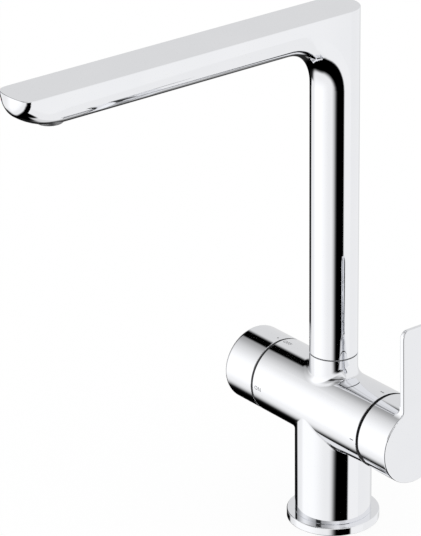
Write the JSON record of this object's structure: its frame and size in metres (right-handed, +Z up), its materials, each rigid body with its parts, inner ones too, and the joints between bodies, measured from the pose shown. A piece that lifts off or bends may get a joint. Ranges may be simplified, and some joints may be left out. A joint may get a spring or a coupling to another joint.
{
  "type": "kitchen mixer tap",
  "caption": "Tall kitchen mixer tap with a swivelling square-bent spout, an upright paddle lever on one side and a dishwasher shut-off knob on the other, in polished chrome.",
  "frame": {"origin": "centre of the base seal's underside, where the tap stands on the worktop", "axes": "+Z up, along the column and riser; the spout's arm points to -Y; the lever is at +X and the shut-off knob at -X"},
  "size_m": [0.1438, 0.2446, 0.3862],
  "materials": {
    "chrome": "polished chrome plate on brass",
    "brass": "turned brass",
    "steel": "plain steel",
    "rubber": "matt black rubber",
    "white_plastic": "smooth moulded plastic",
    "grey_plastic": "smooth moulded plastic",
    "ceramic": "lapped white ceramic"
  },
  "bodies": {
    "mixer_body": {"body_casting": "chrome", "base_ring": "chrome", "base_seal": "rubber", "fixing_stud": "steel", "clamp_gasket": "rubber", "clamp_plate": "steel", "fixing_nut": "brass", "spout_nipple": "brass", "spout_seals": "rubber", "slide_ring": "grey_plastic", "cartridge_base": "white_plastic", "cartridge_seals": "rubber", "cartridge_fixed_disc": "ceramic", "cartridge_housing": "grey_plastic", "cartridge_nut": "brass", "headwork_body": "brass", "headwork_lip_seal": "rubber", "headwork_fixed_disc": "ceramic"},
    "spout_group": {"spout": "chrome", "spout_stop_screw": "steel", "aerator_housing": "chrome", "aerator_insert": "grey_plastic", "aerator_seal": "rubber"},
    "rotor_group": {"cartridge_rotor": "white_plastic", "pivot_pin": "steel", "limit_ring": "grey_plastic"},
    "lever_group": {"lever_stem": "steel", "lever": "chrome", "lever_screw": "steel", "lever_plug": "grey_plastic"},
    "disc_group": {"cartridge_moving_disc": "ceramic"},
    "knob_group": {"shut_off_knob": "chrome", "knob_screw": "steel", "knob_plug": "grey_plastic", "headwork_spindle": "brass", "spindle_circlip": "steel", "spindle_seal": "rubber", "headwork_moving_disc": "ceramic"}
  },
  "joints": [
    {"name": "spout_swivel", "type": "hinge", "parent": "mixer_body", "child": "spout_group", "pos_m": [0, 0, 0.12], "axis": [0, 0, 1], "range_deg": [-60, 60]},
    {"name": "lever_turn", "type": "hinge", "parent": "mixer_body", "child": "rotor_group", "pos_m": [0.03, 0, 0.0728], "axis": [1, 0, 0], "range_deg": [0, 90]},
    {"name": "lever_tilt", "type": "hinge", "parent": "rotor_group", "child": "lever_group", "pos_m": [0.04, 0, 0.0728], "axis": [0, 1, 0], "range_deg": [0, 20]},
    {"name": "disc_slide", "type": "slide", "parent": "rotor_group", "child": "disc_group", "axis": [0, 0, 1], "range_m": [0, 0.0043]},
    {"name": "shutoff_turn", "type": "hinge", "parent": "mixer_body", "child": "knob_group", "pos_m": [-0.05, 0, 0.0728], "axis": [1, 0, 0], "range_deg": [0, 90]}
  ],
  "couplings": [
    {"joint": "disc_slide", "follows": "lever_tilt", "m_per_rad": 0.0121}
  ]
}
